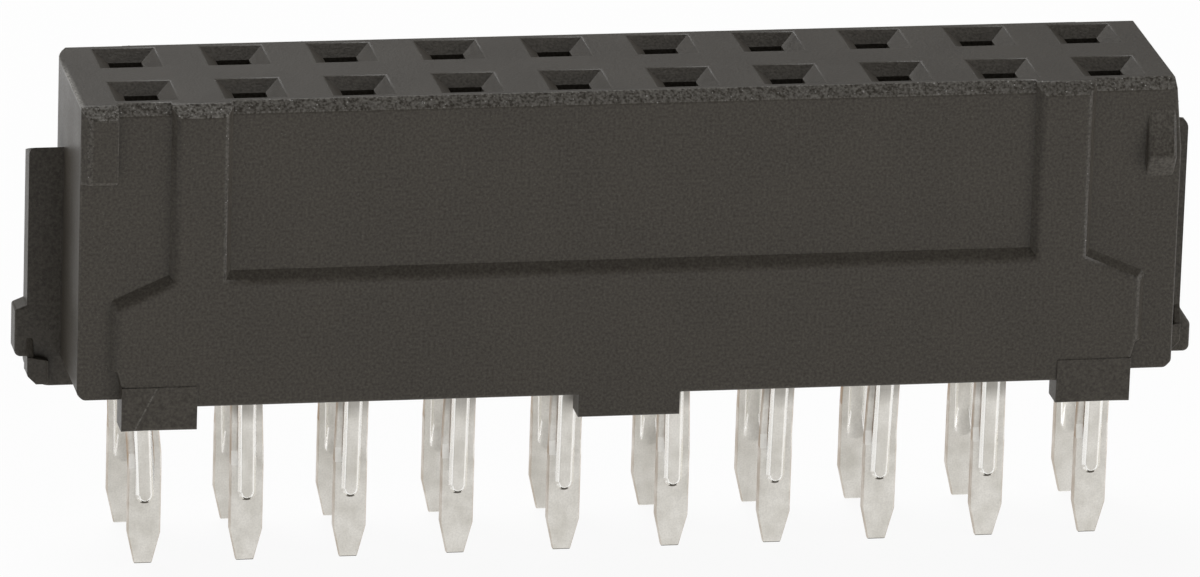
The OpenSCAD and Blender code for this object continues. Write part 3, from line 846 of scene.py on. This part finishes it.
def tail_radius(edge):
    """The radius of an edge of a contact: only the tail's own edges have one."""
    middle = (edge.verts[0].co + edge.verts[1].co) / 2
    stands_out = edge.calc_face_angle_signed(0.0) > STAMPED_TURN
    return STAMPED_RADIUS if stands_out and middle.z < TAIL_TOP else 0.0


def ease_steps(strip):
    """Lets the groove behind the bead and the coined ledge run out gently, as a press leaves them."""
    for vert in strip.verts:
        depth, height = abs(vert.co.y) - ROW_OFFSET, vert.co.z
        in_groove = INNER_DEPTH + NEAR < depth < GROOVE_DEPTH + NEAR
        if in_groove and LEDGE_HEIGHT - GROOVE_REACH < height < LEDGE_HEIGHT:
            vert.co.z += GROOVE_RUN * (depth - INNER_DEPTH) / (GROOVE_DEPTH - INNER_DEPTH)
        elif abs(depth - COINED_DEPTH) < NEAR and abs(height - LEDGE_HEIGHT) < LEDGE_SPAN:
            vert.co.z += LEDGE_RUN


def lean_tail(contact, aside):
    """Sets the tail aside, from where it leaves the housing down."""
    for vert in contact.data.vertices:
        share = min(max((LEAN_FROM - vert.co.z / MM) / LEAN_RUN, 0.0), 1.0)
        vert.co.x += aside * MM * share * share * (3 - 2 * share)


# %% Sort the faces of a tail by their look
BEAD_HALF_WIDTH, BEAD_END = 0.19, -1.5
# How much a face points away from the strip: at most this on a cut, at least this on a flat face
CUT_FACE, FLAT_FACE = 0.3, 0.97
BOTTOM_FACE, BEAD_FOOT, BEAD_MIDDLE, BEAD_LEFT = 0.8, 0.3, 0.35, -0.4
RAMP_SPAN, RAMP_RISE = 0.3, 0.1
RAMP_LEAST, RAMP_MOST = 0.9, 0.997
SMEARED_CUT, SMEARED_SLOPE = 0.5, 0.35
# How much painted highlight a bead slope that faces left keeps, and the ramp on the lit side gets
LEFT_SLOPE_HIGHLIGHT, RAMP_HIGHLIGHT = 0.35, 0.3


def tail_marks(face, middle, outward):
    """How far a face of a tail is (sheared; polished, with painted highlight; painted with a dark spot of
    painted shade), each from 0 to 1.
    """
    x, z = face.center.x / MM - middle, face.center.z / MM
    across, out, down = face.normal.x, face.normal.y * outward, -face.normal.z
    is_cut, is_flat = abs(out) < CUT_FACE, abs(out) >= FLAT_FACE
    if z > TAIL_TOP:
        return (1.0 if is_cut else 0.0), 0.0, 0.0
    if is_cut:
        return (1.0 if z > LEDGE_HEIGHT or down > BOTTOM_FACE else SMEARED_CUT), 0.0, 0.0
    if abs(x) < BEAD_HALF_WIDTH and not is_flat:
        end_of_bead = out > 0 and down > BEAD_FOOT and z < BEAD_END
        # The steep foot of the bead gets a dark spot of painted shade
        if end_of_bead and abs(across) < BEAD_MIDDLE:
            return 0.0, 0.0, 1.0
        # Painted highlight on the bead's slopes, weaker on those that face left below the ledge
        shaded = across < BEAD_LEFT and z < LEDGE_HEIGHT and not end_of_bead
        return 0.0, (LEFT_SLOPE_HIGHLIGHT if shaded else 1.0), 0.0
    # Painted highlight on the ramp of the ledge, on one side only
    on_ramp = abs(z - LEDGE_HEIGHT) < RAMP_SPAN and RAMP_LEAST < out < RAMP_MOST
    if on_ramp and face.normal.z > RAMP_RISE:
        return 0.0, (RAMP_HIGHLIGHT if x * outward > 0 else 0.0), 0.0
    return (0.0 if is_flat else SMEARED_SLOPE), 0.0, 0.0


contacts = []
for row, outward, row_set in (("front", -1, FRONT_SET), ("rear", 1, REAR_SET)):
    for number, aside in enumerate(row_set, start=1):
        node = f"contact_{row}_{number:02d}"
        middle = sum(corner.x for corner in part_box(node)) / 2 / MM
        strip = flat_faced(node, STAMPED_MERGE)
        ease_steps(strip)
        contact = rounded_copy(strip, node + "_strip", tail_radius, STAMPED_STEPS)
        marks = [tail_marks(face, middle, outward) for face in contact.data.polygons]
        for place, mark in enumerate(("sheared", "burnish_and_highlight", "dark_spot_shade")):
            mark_faces(contact, mark, lambda face: marks[face.index][place])
        lean_tail(contact, aside)
        dress(contact, tin_plate, "contacts", node)
        contacts.append(contact)
print("contacts:", len(contacts), "with", len(contacts[0].data.polygons), "faces each")

# %% [markdown]
# ## The floor
#
# The photograph is cut out on white. A white floor gets there without more light on the object: for rays
# from the camera or from a mirror-like reflection most of its colour is a plain white glow of strength 1,
# and the rest is ordinary paint that still takes the shadow. All other rays see only the paint, so the glow
# lights nothing. The floor has one side: a camera below it looks straight through, at the underside of the
# object.

# %% Floor
PAPER_TONE = (0.86, 0.86, 0.86, 1)
PAPER_ROUGHNESS, PAPER_GLOSS = 0.9, 0.1
CAMERA_GLOW, MIRROR_GLOW = 0.93, 0.92
FLOOR_HALF = 1.5


def white_paper():
    """Paper that glows for the camera and for reflections, and is plain paint for all other rays."""
    finish, graph, paint = new_finish("white_paper")
    paint.inputs["Base Color"].default_value = PAPER_TONE
    paint.inputs["Roughness"].default_value = PAPER_ROUGHNESS
    paint.inputs["Specular IOR Level"].default_value = PAPER_GLOSS
    output = next(node for node in graph.nodes if node.type == "OUTPUT_MATERIAL")
    glow = graph.nodes.new("ShaderNodeEmission")
    path = graph.nodes.new("ShaderNodeLightPath")
    direct = math_node(graph, "MULTIPLY", path.outputs["Is Camera Ray"], CAMERA_GLOW)
    reflected = math_node(graph, "MULTIPLY", mirrored_rays(graph, path), MIRROR_GLOW)
    side = graph.nodes.new("ShaderNodeNewGeometry")
    clear = graph.nodes.new("ShaderNodeBsdfTransparent")
    from_below = math_node(graph, "MULTIPLY", side.outputs["Backfacing"], path.outputs["Is Camera Ray"])

    def mix(share, first, second):
        node = graph.nodes.new("ShaderNodeMixShader")
        for socket, value in zip(node.inputs, (share, first, second)):
            graph.links.new(value, socket)
        return node.outputs[0]

    top = mix(math_node(graph, "MAXIMUM", direct, reflected), paint.outputs[0], glow.outputs[0])
    graph.links.new(mix(from_below, top, clear.outputs[0]), output.inputs["Surface"])
    return finish


floor_height = solid_box[0][2]
floor_mesh = bpy.data.meshes.new("floor")
corners = ((-1, -1), (1, -1), (1, 1), (-1, 1))
floor_mesh.from_pydata([(x * FLOOR_HALF, y * FLOOR_HALF, floor_height) for x, y in corners], [],
                       [(0, 1, 2, 3)])
floor_mesh.materials.append(white_paper())
floor = bpy.data.objects.new("floor", floor_mesh)
bpy.context.scene.collection.objects.link(floor)
floor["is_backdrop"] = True
print("floor at", round(floor_height / MM, 2), "mm")

# %% [markdown]
# ## Light
#
# The photograph looks evenly lit, as on a bright table: the front is flat in tone, the top a little paler,
# and the tails are much paler than both. One lamp over the camera would light the front about as much as the
# top. So a soft panel stands above and behind for the top, a small low one at the right front gives the edges
# that face right their thin bright line, and a wide lamp that lies on the floor and faces up does what the
# white table did for the tails. It is hidden from reflections, which see the floor's own white.
#
# The world gives the rest. The camera sees it white, and rays that light the object see a quarter of white.
# Reflections see half of white at the horizon, falling to the same quarter a few degrees up: with full white
# there, the top renders a third brighter than the photograph shows it.

# %% Lamps
# Direction from the object, distance in metres, size in metres, watts
PANELS = {"overhead_panel": ((-0.25, 0.68, 1.0), 0.34, 0.26, 1.00),
          "low_right_panel": ((0.85, -0.50, 0.06), 0.30, 0.12, 0.44),
          "light_table": ((0.0, 0.0, -1.0), 0.01, 0.40, 0.31)}
TABLE_LIFT = 0.01


def soft_panel(name, direction, distance, size, watts):
    """A square studio lamp that faces the object from a direction."""
    lamp = bpy.data.lights.new(name, "AREA")
    lamp.size = size
    lamp.energy = watts
    holder = bpy.data.objects.new(name, lamp)
    away = Vector(direction).normalized()
    holder.location = VIEW_TARGET + away * distance
    holder.rotation_mode = "QUATERNION"
    holder.rotation_quaternion = (-away).to_track_quat("-Z", "Y")
    holder.visible_camera = False
    bpy.context.scene.collection.objects.link(holder)
    return holder


lamps = {name: soft_panel(name, *settings) for name, settings in PANELS.items()}
lamps["light_table"].location.z = floor_height + TABLE_LIFT * MM
lamps["light_table"].visible_glossy = False
print("lamps:", list(lamps))

# %% World
ROOM_LIGHT = 0.24
# What reflections see at the horizon, and the end of a ramp that falls from there until the room light takes
# over: its light, and its height as the Z of a direction
HORIZON_LIGHT, RAMP_LIGHT, RAMP_HEIGHT = 0.5, 0.09, 0.15

world = bpy.data.worlds.new("white_studio")
world.use_nodes = True
sky = world.node_tree
sky.nodes.clear()
sky_out = sky.nodes.new("ShaderNodeOutputWorld")
background = sky.nodes.new("ShaderNodeBackground")
background.inputs["Color"].default_value = (1, 1, 1, 1)
sky_path = sky.nodes.new("ShaderNodeLightPath")
by_height = between(sky, piece_axes(sky)["Z"], HORIZON_LIGHT, RAMP_LIGHT, 0.0, RAMP_HEIGHT)
in_mirrors = math_node(sky, "MULTIPLY", mirrored_rays(sky, sky_path), by_height)
shown = math_node(sky, "ADD", sky_path.outputs["Is Camera Ray"], in_mirrors)
sky.links.new(math_node(sky, "MAXIMUM", shown, ROOM_LIGHT), background.inputs["Strength"])
sky.links.new(background.outputs[0], sky_out.inputs["Surface"])
bpy.context.scene.world = world
bpy.context.scene.view_settings.view_transform = "Standard"
print("world:", world.name, "with", len(sky.nodes), "nodes")

# %% [markdown]
# ## Size
#
# Dressing the solids must not make the object grow. The dressed box less the solid box is printed, corner by
# corner.

# %% Compare the dressed object with the solids
dressed_box = [list(corner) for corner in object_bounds()]
growth = [[round((d - s) / MM, 3) for d, s in zip(*pair)] for pair in zip(dressed_box, solid_box)]
print("grew by", growth, "mm")
